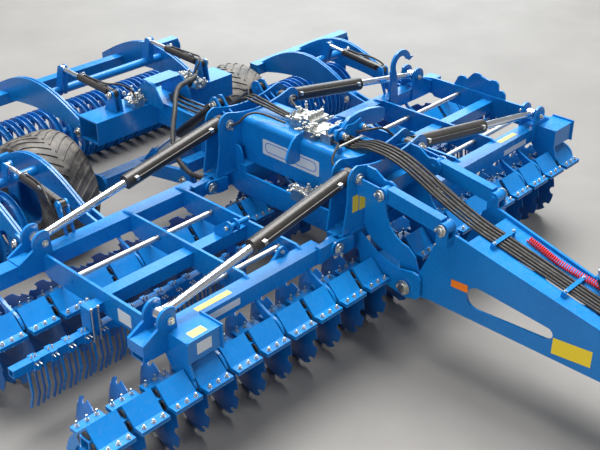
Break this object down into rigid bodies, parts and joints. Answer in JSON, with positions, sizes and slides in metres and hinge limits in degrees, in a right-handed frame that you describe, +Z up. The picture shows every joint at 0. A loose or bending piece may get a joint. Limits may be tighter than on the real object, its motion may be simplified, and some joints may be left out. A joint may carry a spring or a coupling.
{
  "type": "trailed folding disc harrow",
  "caption": "Trailed folding disc harrow: two rows of notched discs on sprung arms, ring rollers, transport axle, fold cylinders and a slotted drawbar.",
  "frame": {"origin": "on the ground at the middle of the harrow's box, on its centre line", "axes": "+X to the harrow's left, +Y to its rear, +Z up; the drawbar points along -Y"},
  "size_m": [5.58, 7.1699, 1.485],
  "materials": {
    "blue_paint": "satin",
    "grey_paint": "satin",
    "black_paint": "satin",
    "disc_steel": "satin",
    "chrome": "polished",
    "zinc": "satin",
    "tyre": "matte",
    "hose": "matte",
    "red_hose": "satin"
  },
  "bodies": {
    "root": {"main_beam": "blue_paint", "front_tower": "blue_paint", "rear_tower": "blue_paint", "rear_frame": "blue_paint", "drawbar": "blue_paint", "drawbar_links": "blue_paint", "valve_blocks": "zinc", "hoses": "hose", "coil_hose": "red_hose", "front_clamps_centre": "blue_paint", "front_discs_centre": "disc_steel", "rear_clamps_centre": "blue_paint", "rear_discs_centre": "disc_steel"},
    "stand": {"stand_leg": "zinc"},
    "axle": {"axle": "blue_paint"},
    "centre_roller_frame": {"centre_roller_frame": "blue_paint"},
    "centre_roller": {"centre_roller": "blue_paint"},
    "wing_right": {"wing_frame_right": "blue_paint", "front_clamps_right": "blue_paint", "front_discs_right": "disc_steel", "rear_clamps_right": "blue_paint", "rear_discs_right": "disc_steel", "tine_bar_right": "blue_paint", "tie_rods_right": "zinc"},
    "fold_barrel_front_right": {"fold_barrel_front_right": "grey_paint"},
    "fold_rod_front_right": {"fold_rod_front_right": "chrome"},
    "fold_barrel_rear_right": {"fold_barrel_rear_right": "grey_paint"},
    "fold_rod_rear_right": {"fold_rod_rear_right": "chrome"},
    "wing_left": {"wing_frame_left": "blue_paint", "front_clamps_left": "blue_paint", "front_discs_left": "disc_steel", "rear_clamps_left": "blue_paint", "rear_discs_left": "disc_steel", "tine_bar_left": "blue_paint", "tie_rods_left": "zinc"},
    "fold_barrel_front_left": {"fold_barrel_front_left": "grey_paint"},
    "fold_rod_front_left": {"fold_rod_front_left": "chrome"},
    "fold_barrel_rear_left": {"fold_barrel_rear_left": "grey_paint"},
    "fold_rod_rear_left": {"fold_rod_rear_left": "chrome"},
    "lift_barrel_right": {"lift_barrel_right": "black_paint"},
    "lift_rod_right": {"lift_rod_right": "chrome"},
    "wheel_right": {"wheel_tyre_right": "tyre", "wheel_rim_right": "blue_paint"},
    "lift_barrel_left": {"lift_barrel_left": "black_paint"},
    "lift_rod_left": {"lift_rod_left": "chrome"},
    "wheel_left": {"wheel_tyre_left": "tyre", "wheel_rim_left": "blue_paint"},
    "centre_depth_barrel_right": {"centre_depth_barrel_right": "grey_paint"},
    "centre_depth_rod_right": {"centre_depth_rod_right": "chrome"},
    "centre_depth_barrel_left": {"centre_depth_barrel_left": "grey_paint"},
    "centre_depth_rod_left": {"centre_depth_rod_left": "chrome"},
    "wing_roller_frame_right": {"wing_roller_frame_right": "blue_paint"},
    "wing_roller_right": {"wing_roller_right": "blue_paint"},
    "wing_depth_barrel_right": {"wing_depth_barrel_right": "grey_paint"},
    "wing_depth_rod_right": {"wing_depth_rod_right": "chrome"},
    "wing_roller_frame_left": {"wing_roller_frame_left": "blue_paint"},
    "wing_roller_left": {"wing_roller_left": "blue_paint"},
    "wing_depth_barrel_left": {"wing_depth_barrel_left": "grey_paint"},
    "wing_depth_rod_left": {"wing_depth_rod_left": "chrome"}
  },
  "joints": [
    {"name": "wing_fold_right", "type": "hinge", "parent": "root", "child": "wing_right", "pos_m": [-0.56, -0.115, 0.88], "axis": [0, 1, 0], "range_deg": [0, 90]},
    {"name": "fold_swing_front_right", "type": "hinge", "parent": "root", "child": "fold_barrel_front_right", "pos_m": [-0.34, -0.655, 1.33], "axis": [0, 1, 0], "range_deg": [0, 96.03]},
    {"name": "fold_stroke_front_right", "type": "slide", "parent": "fold_barrel_front_right", "child": "fold_rod_front_right", "axis": [-0.9842, 0, -0.1771], "range_m": [-0.69498, 0]},
    {"name": "fold_swing_rear_right", "type": "hinge", "parent": "root", "child": "fold_barrel_rear_right", "pos_m": [-0.34, 0.635, 1.33], "axis": [0, 1, 0], "range_deg": [0, 96.03]},
    {"name": "fold_stroke_rear_right", "type": "slide", "parent": "fold_barrel_rear_right", "child": "fold_rod_rear_right", "axis": [-0.9842, 0, -0.1771], "range_m": [-0.69498, 0]},
    {"name": "wing_fold_left", "type": "hinge", "parent": "root", "child": "wing_left", "pos_m": [0.56, -0.115, 0.88], "axis": [0, -1, 0], "range_deg": [0, 90]},
    {"name": "fold_swing_front_left", "type": "hinge", "parent": "root", "child": "fold_barrel_front_left", "pos_m": [0.34, -0.655, 1.33], "axis": [0, -1, 0], "range_deg": [0, 96.03]},
    {"name": "fold_stroke_front_left", "type": "slide", "parent": "fold_barrel_front_left", "child": "fold_rod_front_left", "axis": [0.9842, 0, -0.1771], "range_m": [-0.69498, 0]},
    {"name": "fold_swing_rear_left", "type": "hinge", "parent": "root", "child": "fold_barrel_rear_left", "pos_m": [0.34, 0.635, 1.33], "axis": [0, -1, 0], "range_deg": [0, 96.03]},
    {"name": "fold_stroke_rear_left", "type": "slide", "parent": "fold_barrel_rear_left", "child": "fold_rod_rear_left", "axis": [0.9842, 0, -0.1771], "range_m": [-0.69498, 0]},
    {"name": "axle_lift", "type": "hinge", "parent": "root", "child": "axle", "pos_m": [0, 1.105, 0.66], "axis": [-1, 0, 0], "range_deg": [0, 30]},
    {"name": "wheel_spin_right", "type": "hinge", "parent": "axle", "child": "wheel_right", "pos_m": [-1.06, 2.085, 0.495], "axis": [1, 0, 0], "continuous": true},
    {"name": "lift_swing_right", "type": "hinge", "parent": "root", "child": "lift_barrel_right", "pos_m": [-0.226, 0.785, 1.4], "axis": [-1, 0, 0], "range_deg": [0, 10.49]},
    {"name": "lift_stroke_right", "type": "slide", "parent": "lift_barrel_right", "child": "lift_rod_right", "axis": [0, 0.7698, -0.6383], "range_m": [0, 0.15712]},
    {"name": "wheel_spin_left", "type": "hinge", "parent": "axle", "child": "wheel_left", "pos_m": [1.06, 2.085, 0.495], "axis": [1, 0, 0], "continuous": true},
    {"name": "lift_swing_left", "type": "hinge", "parent": "root", "child": "lift_barrel_left", "pos_m": [0.226, 0.785, 1.4], "axis": [-1, 0, 0], "range_deg": [0, 10.49]},
    {"name": "lift_stroke_left", "type": "slide", "parent": "lift_barrel_left", "child": "lift_rod_left", "axis": [0, 0.7698, -0.6383], "range_m": [0, 0.15712]},
    {"name": "centre_roller_frame_depth", "type": "hinge", "parent": "root", "child": "centre_roller_frame", "pos_m": [0, 2.015, 0.93], "axis": [1, 0, 0], "range_deg": [-5, 8]},
    {"name": "centre_depth_swing_right", "type": "hinge", "parent": "root", "child": "centre_depth_barrel_right", "pos_m": [-0.48, 1.785, 1.27], "axis": [1, 0, 0], "range_deg": [-3.54, 5.67]},
    {"name": "centre_depth_stroke_right", "type": "slide", "parent": "centre_depth_barrel_right", "child": "centre_depth_rod_right", "axis": [0, 0.9991, 0.0416], "range_m": [-0.04977, 0.0313]},
    {"name": "centre_depth_swing_left", "type": "hinge", "parent": "root", "child": "centre_depth_barrel_left", "pos_m": [0.48, 1.785, 1.27], "axis": [1, 0, 0], "range_deg": [-3.54, 5.67]},
    {"name": "centre_depth_stroke_left", "type": "slide", "parent": "centre_depth_barrel_left", "child": "centre_depth_rod_left", "axis": [0, 0.9991, 0.0416], "range_m": [-0.04977, 0.0313]},
    {"name": "centre_roller_spin", "type": "hinge", "parent": "centre_roller_frame", "child": "centre_roller", "pos_m": [0, 3.285, 0.3], "axis": [1, 0, 0], "continuous": true},
    {"name": "wing_roller_frame_right_depth", "type": "hinge", "parent": "wing_right", "child": "wing_roller_frame_right", "pos_m": [-1.745, 0.885, 0.9], "axis": [1, 0, 0], "range_deg": [-5, 8]},
    {"name": "wing_depth_swing_right", "type": "hinge", "parent": "wing_right", "child": "wing_depth_barrel_right", "pos_m": [-1.745, 0.745, 1.13], "axis": [1, 0, 0], "range_deg": [-4.18, 6.68]},
    {"name": "wing_depth_stroke_right", "type": "slide", "parent": "wing_depth_barrel_right", "child": "wing_depth_rod_right", "axis": [0, 0.9944, 0.1055], "range_m": [-0.03479, 0.02193]},
    {"name": "wing_roller_spin_right", "type": "hinge", "parent": "wing_roller_frame_right", "child": "wing_roller_right", "pos_m": [-2.02, 2.085, 0.3], "axis": [1, 0, 0], "continuous": true},
    {"name": "wing_roller_frame_left_depth", "type": "hinge", "parent": "wing_left", "child": "wing_roller_frame_left", "pos_m": [1.745, 0.885, 0.9], "axis": [1, 0, 0], "range_deg": [-5, 8]},
    {"name": "wing_depth_swing_left", "type": "hinge", "parent": "wing_left", "child": "wing_depth_barrel_left", "pos_m": [1.745, 0.745, 1.13], "axis": [1, 0, 0], "range_deg": [-4.18, 6.68]},
    {"name": "wing_depth_stroke_left", "type": "slide", "parent": "wing_depth_barrel_left", "child": "wing_depth_rod_left", "axis": [0, 0.9944, 0.1055], "range_m": [-0.03479, 0.02193]},
    {"name": "wing_roller_spin_left", "type": "hinge", "parent": "wing_roller_frame_left", "child": "wing_roller_left", "pos_m": [2.02, 2.085, 0.3], "axis": [1, 0, 0], "continuous": true},
    {"name": "stand_slide", "type": "slide", "parent": "root", "child": "stand", "axis": [0, 0, 1], "range_m": [0, 0.3]}
  ],
  "couplings": [
    {"joint": "fold_swing_front_right", "follows": "wing_fold_right", "ratio": 1.0668},
    {"joint": "fold_stroke_front_right", "follows": "wing_fold_right", "m_per_rad": -0.44212},
    {"joint": "fold_swing_rear_right", "follows": "wing_fold_right", "ratio": 1.0668},
    {"joint": "fold_stroke_rear_right", "follows": "wing_fold_right", "m_per_rad": -0.44212},
    {"joint": "fold_swing_front_left", "follows": "wing_fold_left", "ratio": 1.0668},
    {"joint": "fold_stroke_front_left", "follows": "wing_fold_left", "m_per_rad": -0.44212},
    {"joint": "fold_swing_rear_left", "follows": "wing_fold_left", "ratio": 1.0668},
    {"joint": "fold_stroke_rear_left", "follows": "wing_fold_left", "m_per_rad": -0.44212},
    {"joint": "lift_swing_right", "follows": "axle_lift", "ratio": 0.34931},
    {"joint": "lift_stroke_right", "follows": "axle_lift", "m_per_rad": 0.29913},
    {"joint": "lift_swing_left", "follows": "axle_lift", "ratio": 0.34931},
    {"joint": "lift_stroke_left", "follows": "axle_lift", "m_per_rad": 0.29913},
    {"joint": "centre_depth_swing_right", "follows": "centre_roller_frame_depth", "ratio": 0.70681},
    {"joint": "centre_depth_stroke_right", "follows": "centre_roller_frame_depth", "m_per_rad": -0.35291},
    {"joint": "centre_depth_swing_left", "follows": "centre_roller_frame_depth", "ratio": 0.70681},
    {"joint": "centre_depth_stroke_left", "follows": "centre_roller_frame_depth", "m_per_rad": -0.35291},
    {"joint": "wing_depth_swing_right", "follows": "wing_roller_frame_right_depth", "ratio": 0.83399},
    {"joint": "wing_depth_stroke_right", "follows": "wing_roller_frame_right_depth", "m_per_rad": -0.24561},
    {"joint": "wing_depth_swing_left", "follows": "wing_roller_frame_left_depth", "ratio": 0.83399},
    {"joint": "wing_depth_stroke_left", "follows": "wing_roller_frame_left_depth", "m_per_rad": -0.24561}
  ]
}
